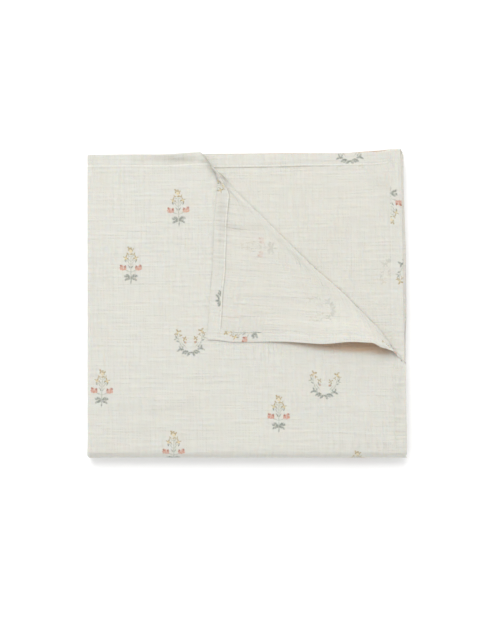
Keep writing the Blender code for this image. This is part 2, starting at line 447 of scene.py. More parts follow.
def hem_puckers(u, v):
    """Height of the short ridges that the sewing draws up across the hems."""
    edges = {"top": (u, HALF_DEPTH - v), "right": (v, HALF_WIDTH - u), "fold": (u, v - LINE_BOTTOM)}
    total = np.zeros_like(u)
    for _, hem, *lengths in PUCKERS:
        along, edge = edges[hem]
        start, end, pitch, middle, width, height = (MM * length for length in lengths)
        phase = 2 * math.pi * along / pitch
        for length, swing in PUCKER_WAVES:
            phase = phase + swing * np.sin(along / length)
        span = ease((along - start) / PUCKER_FADE) * ease((end - along) / PUCKER_FADE)
        total += height * np.sin(phase) * span * np.exp(-((edge - middle) / width) ** 2)
    return total


def lay(flat):
    """Carry points of the flat sheet, given as u, v and height from its middle, to where they lie.

    The painted shade of the creases and puckers and the share of the turned corner come with them.
    """
    points = flat.copy()
    u, v = flat[:, 0], flat[:, 1]
    drift_edges(points)
    in_front = (u > LINE_LEFT) & (v > LINE_BOTTOM)
    in_inner = (u > LINE_LEFT) & (v < LINE_FIRST - HALF_DEPTH)
    flap = np.zeros(len(points))
    for crease in CREASES:
        turned = fold(points, crease)
        if crease.name == "corner":
            settle_corner(points, turned, flat)
            flap = ease(2 * turned - 1)
    points[:, 2] += radius_of(8) * 2 + SOLID_SHEET / 2
    shape_packet(points)
    loosen_layers(points)
    x, y = points[:, 0], points[:, 1]
    rise = np.zeros(len(points))
    shade = np.zeros(len(points))
    for part, share in (("flap", flap), ("front", (1 - flap) * in_front), ("inner", in_inner)):
        height, dark = wrinkle_height(x, y, part)
        rise = rise + share * height
        shade = shade + share * dark
    puckers = in_front * hem_puckers(u, v)
    points[:, 2] += rise + puckers
    # Painted shade in the puckers' troughs
    shade += PUCKER_SHADE * np.clip(-puckers / PUCKER_DEPTH, 0, 1)
    return points, shade, flap


def edge_distance(u, v):
    """Distance from the nearest edge of the flat sheet."""
    return np.minimum.reduce([HALF_WIDTH - u, u - SHEET_LEFT, HALF_DEPTH - v, v - SHEET_BOTTOM])


# ---- The sheet's grid ----

TILT_ROOM = 0.0015
LEDGE_ROOM = 0.0012
EDGE_ROUND = 0.0006
INNER_TOP = 2 * LINE_FIRST - LINE_BOTTOM - arc_of(1)
INNER_LEFT = 2 * LINE_SECOND - LINE_LEFT - arc_of(2)
PAST_FIRST = LINE_FIRST - arc_of(1) - TILT_ROOM
PAST_SECOND = LINE_SECOND - arc_of(2) - TILT_ROOM

# Where each zone ends, and its step. It begins where the one before it ends, or at the sheet's edge.
ZONES_U = (
    ("far hem",       SHEET_LEFT + HEM,                0.0060),
    ("far panel",     INNER_LEFT,                      0.0400),
    ("far left fold", INNER_LEFT + arc_of(4),          0.0014),
    ("far back",      PAST_SECOND,                     0.0500),
    ("second fold",   LINE_SECOND + TILT_ROOM,         0.0009),
    ("near back",     LINE_LEFT - arc_of(4),           0.0500),
    ("left fold",     LINE_LEFT,                       0.0014),
    ("front left",    -0.048,                          0.0030),
    ("rolled hem",    -0.010,                          0.0015),
    ("front middle",  0.015,                           0.0022),
    ("puckered",      0.095,                           0.0016),
    ("front right",   HALF_WIDTH - HEM - LEDGE_ROOM,   0.0022),
    ("ledge",         HALF_WIDTH - HEM + LEDGE_ROOM,   0.0005),
    ("right hem",     HALF_WIDTH - EDGE_ROUND,         0.0025),
    ("right edge",    HALF_WIDTH,                      0.0003),
)
ZONES_V = (
    ("inner edge",    SHEET_BOTTOM + EDGE_ROUND,       0.0003),
    ("inner hem",     SHEET_BOTTOM + HEM - LEDGE_ROOM, 0.0025),
    ("inner ledge",   SHEET_BOTTOM + HEM + LEDGE_ROOM, 0.0005),
    ("inner panel",   INNER_TOP,                       0.0048),
    ("inner fold",    INNER_TOP + arc_of(8),           0.0024),
    ("inner back",    PAST_FIRST,                      0.0500),
    ("first fold",    LINE_FIRST + TILT_ROOM,          0.0005),
    ("front back",    LINE_BOTTOM - arc_of(8),         0.0500),
    ("bottom fold",   LINE_BOTTOM,                     0.0016),
    ("front panel",   HALF_DEPTH - HEM - LEDGE_ROOM,   0.0027),
    ("ledge",         HALF_DEPTH - HEM + LEDGE_ROOM,   0.0005),
    ("top hem",       HALF_DEPTH - EDGE_ROUND,         0.0012),
    ("top edge",      HALF_DEPTH,                      0.0003),
)


def grid_lines(start, zones):
    """Places of the grid's lines, evenly spaced within each zone."""
    places = [start]
    for _, end, step in zones:
        count = max(1, math.ceil((end - start) / step))
        places.extend(start + (end - start) * (number + 1) / count for number in range(count))
        start = end
    return np.array(places)


# ---- Relief of the flat sheet ----

# The crinkle is made of short waves across the cloth and fewer along it, in patches
CRINKLE = 0.00011
CRINKLE_SEED = 5
WAVES_ACROSS = 14
WAVES_ALONG = 8
WAVE_LENGTHS = (0.010, 0.030)
WAVE_SWING = 0.22
PATCH_SIZES = (0.03, 0.08)
WAVE_SPREAD = 4

# The stitching pulls a groove, deeper on the back. The sheet's rim is rounded to a share of its thickness.
STITCH_LINE = 0.0108
STITCH_SINK = 0.00012
STITCH_WIDTH = 0.0009
BACK_SINK = 2.0
LEDGE_RUN = 0.0006
EDGE_SHARE = 0.45


def crinkle(u, v):
    """Uneven gauze crinkle between -1 and 1."""
    random = np.random.default_rng(CRINKLE_SEED)
    total = np.zeros_like(u)
    for number in range(WAVES_ACROSS + WAVES_ALONG):
        length = random.uniform(*WAVE_LENGTHS)
        swing = random.normal(0, WAVE_SWING)
        phase = random.uniform(0, 2 * math.pi, 3)
        aside, ahead = math.sin(swing), math.cos(swing)
        run = u * aside + v * ahead if number < WAVES_ACROSS else u * ahead + v * aside
        patch = np.sin(u / random.uniform(*PATCH_SIZES) + phase[1])
        patch = patch * np.sin(v / random.uniform(*PATCH_SIZES) + phase[2])
        total += np.sin(2 * math.pi * run / length + phase[0]) * patch
    return np.clip(total / WAVE_SPREAD, -1, 1)


def toward_corner(u, v):
    """Distance on the flat sheet from its middle towards the turned corner."""
    away = direction(CORNER_ANGLE)
    return u * away[0] + v * away[1]


def sheet_heights(u, v):
    """Heights of the printed face and the back from the sheet's middle, on the flat sheet."""
    edge = edge_distance(u, v)
    crinkled = CRINKLE * crinkle(u, v)
    groove = STITCH_SINK * np.exp(-((edge - STITCH_LINE) / STITCH_WIDTH) ** 2)
    hem = HEM_RISE * ease((HEM - edge) / LEDGE_RUN + 0.5)
    rounded = np.sqrt(1 - (1 - np.clip(edge / EDGE_ROUND, 0, 1)) ** 2)
    half = CLOTH / 2 * (EDGE_SHARE + (1 - EDGE_SHARE) * rounded)
    from_fold = np.abs(CORNER_REACH - toward_corner(u, v))
    half *= 1 - SQUEEZE * (1 - ease(from_fold / SQUEEZE_WIDTH))
    face = half + crinkled - groove
    back = -half + crinkled + BACK_SINK * groove - hem
    return face, back


# ---- The cloth ----

UNDERSIDE_START = LINE_BOTTOM - arc_of(8)
UNDERSIDE_STEP = (UNDERSIDE_START - LINE_FIRST - TILT_ROOM) / UNDERSIDE_ROWS
PANEL_TOP = SHEET_BOTTOM + HALF_DEPTH - FAR_EDGE_INSET_Y

# Where the painted shadow in the mouth under the lifted edge begins, how far it reaches down, and how it
# falls along the neck; it also reaches onto the turned corner's underside near its edge
MOUTH_EDGE = -0.0350
MOUTH_REACH = 0.0116
MOUTH_FALL = 0.0085
MOUTH_FALL_FROM = 0.1150
MOUTH_FALL_RUN = 0.0220
MOUTH_SOFTNESS = 0.005
FLAP_UNDERSIDE_REACH = 0.030

# Strength of the painted shadow line and of the painted highlight line beside the hems' ledges, where it is
# less than 1
TOP_LEDGE = 0.75
INNER_LEDGE_END = 0.30
INNER_LEDGE_FROM = 0.040
INNER_LEDGE_RUN = 0.070
SIDE_LEDGE = 0.04
SIDE_LEDGE_LIGHT = 0.15

# A painted highlight runs along the crest of the turned corner's fold, where it catches the light
CREST = CORNER_REACH - reach_of(1) + arc_of(1) / 2
CREST_WIDTH = 0.0020

# The map has less room for what stays hidden, and gaps between its parts
HIDDEN_ROOM = 0.3
MAP_GAP = 0.01


def sprig_places():
    """Kind, print place and turn of every sprig on the flat sheet."""
    places = []
    for kind, panel, x, y, turn in SPRIGS:
        u = PACKET_WIDTH - x * MM if panel == "side" else x * MM
        v = y * MM if panel == "front" else PANEL_TOP - y * MM
        if panel == "top":
            v = 2 * SHEET_BOTTOM - PANEL_TOP + y * MM
        places.append((kind, u, v, turn))
    for column in range(UNDERSIDE_COLUMNS):
        for row in range(UNDERSIDE_ROWS):
            place = column + UNDERSIDE_INSET + UNDERSIDE_STAGGER * (row % 2)
            u = -HALF_WIDTH + place * PACKET_WIDTH / UNDERSIDE_COLUMNS
            v = UNDERSIDE_START - (row + 0.5) * UNDERSIDE_STEP
            places.append((POSY if (row + column) % 2 else GARLAND, u, v, 0))
    return np.array(places)


def sprig_offsets(faces, u, v):
    """Each face corner's place from the nearest sprig in millimetres, and the sprig's kind."""
    places = sprig_places()
    corner_u, corner_v = u[faces], v[faces]
    middle_u, middle_v = corner_u.mean(1), corner_v.mean(1)
    distance = np.hypot(middle_u[:, None] - places[:, 1], middle_v[:, None] - places[:, 2])
    near = places[distance.argmin(1)]
    angle = np.radians(near[:, 3])[:, None]
    du = (corner_u - near[:, 1, None]) / MM
    dv = (corner_v - near[:, 2, None]) / MM
    kind = np.broadcast_to(near[:, 0, None], du.shape)
    cos, sin = np.cos(angle), np.sin(angle)
    return np.stack([du * cos + dv * sin, dv * cos - du * sin, kind], -1)


def mirrored_past_edge(u, v, in_hem):
    """Print coordinates of the back, whose hem strips show the printed face of the turned-in edge."""
    over = in_hem[:, None]
    near_u = np.minimum(HALF_WIDTH - u, u - SHEET_LEFT)
    near_v = np.minimum(HALF_DEPTH - v, v - SHEET_BOTTOM)
    across = over & (near_u.mean(1) < near_v.mean(1))[:, None]
    along = over & ~across
    edge_u = np.where(u > 0.5 * (HALF_WIDTH + SHEET_LEFT), HALF_WIDTH, SHEET_LEFT)
    edge_v = np.where(v > 0.5 * (HALF_DEPTH + SHEET_BOTTOM), HALF_DEPTH, SHEET_BOTTOM)
    return np.where(across, 2 * edge_u - u, u), np.where(along, 2 * edge_v - v, v)


def ledge_shares(u, v):
    """How strongly the painted shadow line and the painted highlight line beside each hem's ledge show."""
    across = np.minimum(HALF_DEPTH - v, v - SHEET_BOTTOM) < HALF_WIDTH - u
    inner = 1 - (1 - INNER_LEDGE_END) * ease((u - INNER_LEDGE_FROM) / INNER_LEDGE_RUN)
    dark = np.where(across, np.where(v > 0, TOP_LEDGE, inner), SIDE_LEDGE)
    light = np.where(across, 1, SIDE_LEDGE_LIGHT)
    return dark, light


def mouth_shadow_share(points, flat, flap):
    """How strongly the warm painted shadow under the lifted edge falls on each point: in the mouth, where
    only the cloth lets light in, and on the turned corner's underside near its edge.
    """
    x, y = points[:, 0], points[:, 1]
    opening = lift_share(x)
    edge = MOUTH_EDGE - MOUTH_FALL * ease((x - MOUTH_FALL_FROM) / MOUTH_FALL_RUN) - MOUTH_REACH * opening
    under_edge = ease((y - edge) / MOUTH_SOFTNESS) * (1 - flap) * (flat[:, 1] > LINE_BOTTOM)
    flap_underside = (1 - ease((HALF_WIDTH - flat[:, 0]) / FLAP_UNDERSIDE_REACH)) * flap * (flat[:, 2] > 0)
    return np.sqrt(opening) * np.maximum(under_edge, flap_underside)


def map_places(lines, shown):
    """Places of grid lines along a side of the map, with most room for the stretches that show."""
    middles = 0.5 * (lines[1:] + lines[:-1])
    weight = np.full_like(middles, HIDDEN_ROOM)
    for start, end in shown:
        weight[(middles > start) & (middles < end)] = 1
    places = np.concatenate([[0], np.cumsum(weight * np.diff(lines))])
    return places / places[-1]


def store(mesh, name, domain, values):
    """Store values on the mesh for its material to read."""
    kind, field = ("FLOAT", "value") if values.ndim == 1 else ("FLOAT_VECTOR", "vector")
    mesh.attributes.new(name, kind, domain).data.foreach_set(field, values.ravel())


def make_mesh(name, points, faces):
    """Mesh of four-sided faces from arrays."""
    mesh = bpy.data.meshes.new(name)
    mesh.vertices.add(len(points))
    mesh.vertices.foreach_set("co", points.ravel())
    mesh.loops.add(faces.size)
    mesh.loops.foreach_set("vertex_index", faces.ravel())
    mesh.polygons.add(len(faces))
    mesh.polygons.foreach_set("loop_start", np.arange(len(faces)) * faces.shape[1])
    mesh.update(calc_edges=True)
    mesh.shade_smooth()
    return mesh


def make_object(name, mesh, material):
    """Object for a mesh, in the scene."""
    made = bpy.data.objects.new(name, mesh)
    bpy.context.scene.collection.objects.link(made)
    mesh.materials.append(material)
    return made


def add_map(mesh, lines_u, lines_v, quads, under):
    """Map the printed face on the left half, the back on the right half, and the rim between them."""
    across = map_places(lines_u, [(LINE_LEFT - arc_of(4), HALF_WIDTH)])
    upward = map_places(lines_v, [(LINE_BOTTOM - arc_of(8), HALF_DEPTH), (SHEET_BOTTOM, INNER_TOP)])
    map_u, map_v = (places.ravel() for places in np.meshgrid(across, upward, indexing="ij"))
    face = np.stack([map_u * (0.5 - MAP_GAP), map_v], -1)
    back = face + np.array([0.5 + MAP_GAP, 0])
    walls = 2 * (len(lines_u) + len(lines_v) - 2)
    run = np.arange(walls + 1) / walls
    left = np.full(walls, 0.5)
    right = left + MAP_GAP / 2
    sides = ((left, run[1:]), (left, run[:-1]), (right, run[:-1]), (right, run[1:]))
    rim = np.stack([np.stack(side, -1) for side in sides], 1)
    corners = np.concatenate([face[quads], back[under], rim])
    mesh.uv_layers.new(name="OFBake").uv.foreach_set("vector", corners.ravel())


def make_cloth(material):
    """The whole sheet as one closed mesh, folded, with its print coordinates and its map."""
    lines_u = grid_lines(SHEET_LEFT, ZONES_U)
    lines_v = grid_lines(SHEET_BOTTOM, ZONES_V)
    count_u, count_v = len(lines_u), len(lines_v)
    low = count_u * count_v
    u, v = (a.ravel() for a in np.meshgrid(lines_u, lines_v, indexing="ij"))
    face, back = sheet_heights(u, v)
    flat = np.concatenate([np.stack([u, v, face], 1), np.stack([u, v, back], 1)])

    index = np.arange(low).reshape(count_u, count_v)
    quads = np.stack([index[:-1, :-1], index[1:, :-1], index[1:, 1:], index[:-1, 1:]], -1).reshape(-1, 4)
    under = quads[:, ::-1]
    rim = np.concatenate([index[:-1, 0], index[-1, :-1], index[:0:-1, -1], index[0, :0:-1]])
    after = np.roll(rim, -1)
    walls = np.stack([after, rim, rim + low, after + low], -1)
    points, creased, flap = lay(flat)
    mesh = make_mesh("swaddle_cloth", points, np.concatenate([quads, under + low, walls]))

    in_hem = edge_distance(u[under], v[under]).mean(1) < HEM
    back_u, back_v = mirrored_past_edge(u[under], v[under], in_hem)
    printed = sprig_offsets(quads, u, v)
    behind = sprig_offsets(np.arange(under.size).reshape(-1, 4), back_u.ravel(), back_v.ravel())
    around = sprig_offsets(np.stack([after, rim, rim, after], -1), u, v)
    store(mesh, "sprig", "CORNER", np.concatenate([printed, behind, around]))
    unprinted = np.concatenate([np.zeros(quads.size), np.repeat(~in_hem, 4), np.zeros(walls.size)])
    store(mesh, "back", "CORNER", unprinted)
    store(mesh, "side", "POINT", np.concatenate([0 * u, 0 * u + 1]))
    turned_grain = np.concatenate([0 * u, v > LINE_BOTTOM])
    all_u, all_v = flat[:, 0], flat[:, 1]
    store(mesh, "place", "POINT", np.stack([all_u, all_v, turned_grain], 1))
    # Strengths of the painted shadow and highlight lines at the ledges, and of the painted highlight along
    # the fold's crest
    dark, light = ledge_shares(all_u, all_v)
    crest_highlight = np.exp(-((toward_corner(all_u, all_v) - CREST) / CREST_WIDTH) ** 2)
    store(mesh, "ledge", "POINT", np.stack([dark, light, crest_highlight], 1))
    past_hem = (edge_distance(all_u, all_v) - HEM) / MM
    # Warm painted shadow under the lifted edge
    mouth_shadow = mouth_shadow_share(points, flat, flap)
    store(mesh, "shade", "POINT", np.stack([past_hem, creased, mouth_shadow], 1))
    add_map(mesh, lines_u, lines_v, quads, under)
    return make_object("swaddle_cloth", mesh, material)


# ---- Stitching ----

STITCH_PITCH = 0.0031
STITCH_LENGTH = 0.0025
STITCH_STOP = 0.002
THREAD = 0.00022
THREAD_RISE = THREAD / 2
THREAD_SIDES = 6
# Rings of a stitch: place along it from its middle as a share of half its length, and share of full width
STITCH_RINGS = ((-1, 0.25), (-0.75, 0.9), (0.75, 0.9), (1, 0.25))

# A row of stitches runs along u or v between two places, and stops a little short of them
STITCH_RUNS = (
    # name         along  fixed                        start          end
    ("top",         "u",   HALF_DEPTH - STITCH_LINE,   LINE_LEFT,     HALF_WIDTH),
    ("right",       "v",   HALF_WIDTH - STITCH_LINE,   LINE_BOTTOM,   HALF_DEPTH),
    ("inner top",   "u",   SHEET_BOTTOM + STITCH_LINE, LINE_LEFT,     HALF_WIDTH),
    ("inner right", "v",   HALF_WIDTH - STITCH_LINE,   SHEET_BOTTOM,  INNER_TOP),
)


def stitch_rings(along, fixed, face):
    """Points of one stitch on the flat sheet, ring by ring."""
    points = []
    for place, width in STITCH_RINGS:
        run = along + place * STITCH_LENGTH / 2
        for side in range(THREAD_SIDES):
            angle = 2 * math.pi * side / THREAD_SIDES
            aside, up = THREAD * width * math.cos(angle), THREAD * width * math.sin(angle)
            points.append((run, fixed + aside, up, face))
    return points


def make_stitches(material):
    """Every stitch that shows, as small threads lying on the cloth, in one mesh."""
    rows = []
    for _, along, fixed, start, end in STITCH_RUNS:
        start += STITCH_STOP
        for number in range(int((end - STITCH_STOP - start) / STITCH_PITCH)):
            for face in (1, -1):
                rings = stitch_rings(start + (number + 0.5) * STITCH_PITCH, fixed, face)
                if along == "v":
                    rings = [(across, place, height, side) for place, across, height, side in rings]
                rows.extend(rings)
    rows = np.array(rows)
    face, back = sheet_heights(rows[:, 0], rows[:, 1])
    surface = np.where(rows[:, 3] > 0, face, back)
    flat = np.stack([rows[:, 0], rows[:, 1], surface + rows[:, 2] + rows[:, 3] * THREAD_RISE], 1)
    rings = len(STITCH_RINGS)
    first = np.arange(len(flat)).reshape(-1, rings, THREAD_SIDES)
    after = np.roll(first, -1, 2)
    skin = np.stack([first[:, :-1], after[:, :-1], after[:, 1:], first[:, 1:]], -1).reshape(-1, 4)
    half = THREAD_SIDES // 2
    caps = []
    for end in (0, rings - 1):
        ring = first[:, end]
        caps.append(np.stack([ring[:, 0], ring[:, 1], ring[:, 2], ring[:, half]], -1))
        caps.append(np.stack([ring[:, half], ring[:, half + 1], ring[:, half + 2], ring[:, 0]], -1))
    mesh = make_mesh("hem_stitches", lay(flat)[0], np.concatenate([skin] + caps))
    scratch = bmesh.new()
    scratch.from_mesh(mesh)
    bmesh.ops.recalc_face_normals(scratch, faces=scratch.faces)
    scratch.to_mesh(mesh)
    scratch.free()
    mesh.shade_smooth()
    return make_object("hem_stitches", mesh, material)


# ---- Materials ----

# Shares of light that each colour gives back, as linear red, green and blue
CLOTH_FACE = (0.605, 0.600, 0.552)
CLOTH_BACK = (0.600, 0.591, 0.539)
# Painted shade in the crinkle's valleys
CLOTH_VALLEY_SHADE = (0.515, 0.500, 0.445)
# Painted highlight on the hems' ledges and along the fold's crest
CLOTH_HIGHLIGHT = (0.740, 0.732, 0.675)
# Painted shade in the creases, in the puckers and beside the hems' ledges
CREASE_SHADE = (0.290, 0.270, 0.225)
# Warm painted shadow under the lifted edge
MOUTH_SHADE = (0.490, 0.325, 0.197)
THREAD_DARK = (0.60, 0.59, 0.54)
THREAD_LIGHT = (0.70, 0.69, 0.63)
FLOOR_DARK = (0.955, 0.955, 0.955)
FLOOR_LIGHT = (0.97, 0.97, 0.97)

# How strongly each of them shows
# Strength of the painted shade in the crinkle's valleys
VALLEY_SHADE = 0.27
# How strongly the painted ledge shadow shows on the printed face
FACE_LEDGE_SHADOW = 0.15
# Strength of the painted highlight along the fold's crest
FOLD_HIGHLIGHT = 0.25
# Strength of the warm painted shadow under the lifted edge
MOUTH_SHADOW_STRENGTH = 0.80
INK_STRENGTH = 0.95

# The gauze's noises, in waves for each metre along each axis, and their shares of the relief
STREAK_WAVES = (24, 400, 3)
RIPPLE_WAVES = (70, 170, 3)
RIB_WAVES = (430, 26, 3)
PATCH_WAVES = (16, 13, 3)
WARP_WAVES = (1500, 260, 3)
WEFT_WAVES = (260, 1500, 3)
BROKEN_WAVES = (60, 60, 3)
RIPPLE_SHARE = 0.7
RIB_SHARE = 1.5
WEAVE_SHARE = 0.22
RELIEF = 0.0008

# Where these noises are low and high, and what the values between them are carried to
PATCH_RANGE = (0.30, 0.62, 0.35, 1.0)
VALLEY_RANGE = (0.90, 1.40, 1.0, 0.0)
COVER_RANGE = (0.80, 1.12, 0.50, 1.0)
LEDGE_BREAKS = (0.35, 0.65, 0.30, 1.0)
CREASE_BREAKS = (0.35, 0.65, 0.55, 1.15)
TWIST_RANGE = (0.35, 0.65)

# Painted shadow and painted highlight lines beside a hem's ledge: how far past it their middle is, and how
# far they reach, in millimetres
LEDGE_SHADOW_LINE = (0.70, 0.95)
LEDGE_HIGHLIGHT_LINE = (-0.60, 0.80)

# The ink's edges waver, by millimetres across and up, with this many waves for each millimetre
WOBBLE = (1.6, 1.6, 0)
WOBBLE_WAVES = 0.9

# The thread's twist, and the floor's mottle
TWIST_WAVES = (2500, 2500, 2500)
TWIST_RELIEF = 0.0001
TWIST_STRENGTH = 0.6
MOTTLE_WAVES = (3, 3, 3)

MUSLIN_FINISH = {
    "Roughness": 0.93,
    "Specular IOR Level": 0.2,
    "Subsurface Weight": 0.35,
    "Subsurface Radius": (1.0, 0.55, 0.30),
    "Subsurface Scale": 0.0012,
    "Sheen Weight": 0.12,
    "Sheen Roughness": 0.6,
}
THREAD_FINISH = {"Roughness": 0.85, "Specular IOR Level": 0.3}
FLOOR_FINISH = {"Roughness": 1, "Specular IOR Level": 0}

Ink = namedtuple("Ink", "colour through")
INKS = {
    #              red    green  blue    share seen from the back
    "leaf":   Ink((0.225, 0.245, 0.215), 0.30),
    "stem":   Ink((0.300, 0.320, 0.250), 0.24),
    "ochre":  Ink((0.370, 0.290, 0.150), 0.20),
    "yellow": Ink((0.640, 0.540, 0.330), 0.05),
    "rose":   Ink((0.440, 0.285, 0.205), 0.24),
    "coral":  Ink((0.520, 0.270, 0.200), 0.24),
    "brick":  Ink((0.300, 0.130, 0.095), 0.24),
}

# The two sprigs, drawn in millimetres from their middles. A row whose pair is 1 has a twin across the middle.
# A row with petals is a floret: long is its reach and wide how deep its petals are cut, from 0 to 1.
Mark = namedtuple("Mark", "ink pair x y long wide turn petals", defaults=(0,))
MARKS = {POSY: (
    # ink   pair   x      y  long  wide turn petals
    ("stem",   0,  0.2,  -5.0, 7.5, 0.32,  90),
    ("stem",   0,  0.1,   5.6, 5.4, 0.28,  88),
    ("leaf",   0,  0.3, -13.4, 3.6, 0.60,  88),
    ("leaf",   1,  2.4,  -9.6, 2.5, 1.25,  36),
    ("leaf",   1,  2.2, -12.0, 2.2, 1.15, -36),
    ("leaf",   1,  4.9,  -9.9, 1.8, 1.05,  24),
    ("leaf",   1,  4.5, -12.9, 1.6, 0.95, -50),
    ("stem",   1,  3.2,  -4.7, 3.0, 0.30,  20),
    ("leaf",   1,  1.4,  -0.8, 1.7, 0.55,  58),
    ("stem",   1,  2.6,   3.9, 2.6, 0.30,  55),
    ("coral",  1,  5.6,  -2.1, 2.3, 1.45,  80),
    ("coral",  1,  8.9,  -1.5, 2.6, 1.60, 108),
    ("coral",  1,  7.3,  -3.2, 1.9, 1.30,   0),
    ("brick",  1,  9.4,   0.1, 1.1, 0.85,  40),
    ("brick",  1,  5.2,  -0.8, 0.8, 1.30,   0),
    ("ochre",  1,  4.7,   7.6, 2.7, 0.36,  20, 4),
    ("ochre",  1,  3.2,  11.2, 1.7, 0.42,  70, 3),
    ("leaf",   1,  2.2,   6.4, 1.4, 0.50,  70),
    ("yellow", 1,  4.9,   7.2, 1.0, 0.90,   0),
    ("leaf",   1,  5.0,   4.6, 1.4, 0.60,  70),
    ("ochre",  0, -1.4,  16.4, 2.6, 0.38,  10, 3),
    ("ochre",  0,  1.5,  15.3, 1.9, 0.42,  40, 3),
    ("yellow", 0,  0.0,  13.8, 1.5, 1.30,   0),
    ("ochre",  0,  0.6,  11.2, 1.6, 0.70,  25),
    ("stem",   1,  1.8,   9.4, 1.8, 0.30,  35),
), GARLAND: (
    ("leaf",   0,  0.2, -11.0, 3.4, 0.75,   4),
    ("leaf",   1,  4.7, -11.3, 1.8, 0.90, -15),
    ("leaf",   1, 10.2,  -5.4, 1.6, 0.80,  62),
    ("leaf",   1,  7.4,  -5.6, 1.2, 0.60, 100),
    ("leaf",   1,  2.2, -12.2, 2.4, 1.15, -52),
    ("leaf",   1,  4.4,  -9.6, 2.2, 1.10,  12),
    ("leaf",   1,  6.8, -10.2, 2.1, 1.10, -42),
    ("leaf",   1,  8.7,  -7.4, 2.3, 1.05,  16),
    ("leaf",   1, 11.2,  -8.0, 2.1, 1.00, -30),
    ("stem",   1,  9.0,  -3.4, 3.4, 0.30,  68),
    ("stem",   1, 11.0,   2.6, 3.6, 0.28,  80),
    ("leaf",   1, 12.9,   4.2, 1.6, 0.62,  60),
    ("stem",   1, 14.0,   2.5, 1.4, 0.45, -20),
    ("ochre",  1, 11.0,   9.6, 2.9, 0.40,  50, 3),
    ("ochre",  1, 13.4,   6.9, 1.9, 0.42,  20, 4),
    ("ochre",  1,  9.0,   5.9, 1.7, 0.42,  60, 3),
    ("leaf",   1, 12.0,   0.4, 1.5, 0.60,  20),
    ("yellow", 1, 11.4,   8.6, 0.9, 0.80,   0),
    ("ochre",  1,  5.3,   2.6, 2.5, 0.38,  35, 4),
    ("leaf",   1,  5.6,  -0.6, 1.3, 0.50,  80),
    ("rose",   1,  4.6,  -1.2, 1.2, 1.00,  60),
    ("stem",   1,  6.2,  -3.6, 2.4, 0.26,  50),
)}
SOFT_EDGE = 0.30


def feed(tree, node, inputs):
    """Feed a node's inputs with links or values."""
    for key, value in inputs.items():
        if isinstance(value, bpy.types.NodeSocket):
            tree.links.new(value, node.inputs[key])
        else:
            node.inputs[key].default_value = value


def add_node(tree, kind, inputs, **settings):
    """Add a node, set it up and feed it."""
    made = tree.nodes.new("ShaderNode" + kind)
    for name, value in settings.items():
        setattr(made, name, value)
    feed(tree, made, inputs)
    return made


def new_material(name):
    """A material, its tree of nodes and its shader."""
    material = bpy.data.materials.new(name)
    material.use_nodes = True
    tree = material.node_tree
    return material, tree, tree.nodes["Principled BSDF"]


def read(tree, name, output="Vector"):
    """What the mesh stores under this name."""
    return add_node(tree, "Attribute", {}, attribute_name=name).outputs[output]


def split(tree, vector):
    """Outputs X, Y and Z of a vector."""
    return add_node(tree, "SeparateXYZ", {0: vector}).outputs


def join(tree, *parts):
    """Vector made of its parts."""
    return add_node(tree, "CombineXYZ", dict(enumerate(parts))).outputs[0]


def maths(tree, operation, first, second=0.0, third=0.0):
    """Output of a Math node."""
    made = add_node(tree, "Math", {0: first, 1: second, 2: third}, operation=operation)
    return made.outputs[0]


def times(tree, first, *others):
    """Product of values."""
    for other in others:
        first = maths(tree, "MULTIPLY", first, other)
    return first


def ranged(tree, value, low, high, to_low=0.0, to_high=1.0):
    """A value carried from one range to another, and held within it."""
    inputs = {"Value": value, "From Min": low, "From Max": high, "To Min": to_low, "To Max": to_high}
    return add_node(tree, "MapRange", inputs).outputs["Result"]


def noise(tree, place, waves, detail=1.0):
    """Noise around 0.5, with this many waves for each metre along each axis."""
    drawn = add_node(tree, "Mapping", {"Vector": place, "Scale": waves}).outputs[0]
    inputs = {"Vector": drawn, "Scale": 1, "Detail": detail}
    return add_node(tree, "TexNoise", inputs).outputs["Fac"]


def relief(tree, height, distance, strength=1.0):
    """Normal of a surface with this relief on it."""
    inputs = {"Strength": strength, "Distance": distance, "Height": height}
    return add_node(tree, "Bump", inputs).outputs["Normal"]


def mix(tree, kind, share, under, over):
    """Mix of two colours or of two vectors by a share."""
    made = add_node(tree, "Mix", {}, data_type="RGBA" if kind == "Color" else "VECTOR")
    ends = {"Factor_Float": share, f"A_{kind}": under, f"B_{kind}": over}
    slots = enumerate(made.inputs)
    feed(tree, made, {number: ends[slot.identifier] for number, slot in slots if slot.identifier in ends})
    return next(slot for slot in made.outputs if slot.identifier == f"Result_{kind}")


def blend(tree, share, under, over):
    """Colour with another laid over it by a share."""
    under, over = ((*colour, 1) if isinstance(colour, tuple) else colour for colour in (under, over))
    return mix(tree, "Color", share, under, over)


def draw_mark(tree, mark, spot):
    """Share of ink laid by one mark of a sprig."""
    size = (mark.long, mark.long if mark.petals else mark.wide, 1)
    turn = (0, 0, math.radians(mark.turn))
    inputs = {"Vector": spot, "Location": (mark.x, mark.y, 0), "Rotation": turn, "Scale": size}
    own = add_node(tree, "Mapping", inputs, vector_type="TEXTURE").outputs[0]
    reach = add_node(tree, "VectorMath", {0: own}, operation="LENGTH").outputs["Value"]
    if mark.petals:
        parts = split(tree, own)
        angle = maths(tree, "ARCTAN2", parts["Y"], parts["X"])
        lobes = maths(tree, "COSINE", times(tree, angle, float(mark.petals)))
        reach = maths(tree, "MULTIPLY_ADD", lobes, -mark.wide, maths(tree, "ADD", reach, mark.wide))
    soft = SOFT_EDGE / min(size[:2])
    return ranged(tree, reach, 1 + soft, 1 - soft)


def line_share(tree, value, middle, width):
    """Share from 0 to 1 within a soft line around one value."""
    off = maths(tree, "ABSOLUTE", maths(tree, "SUBTRACT", value, middle))
    return ranged(tree, off, width, 0.0)


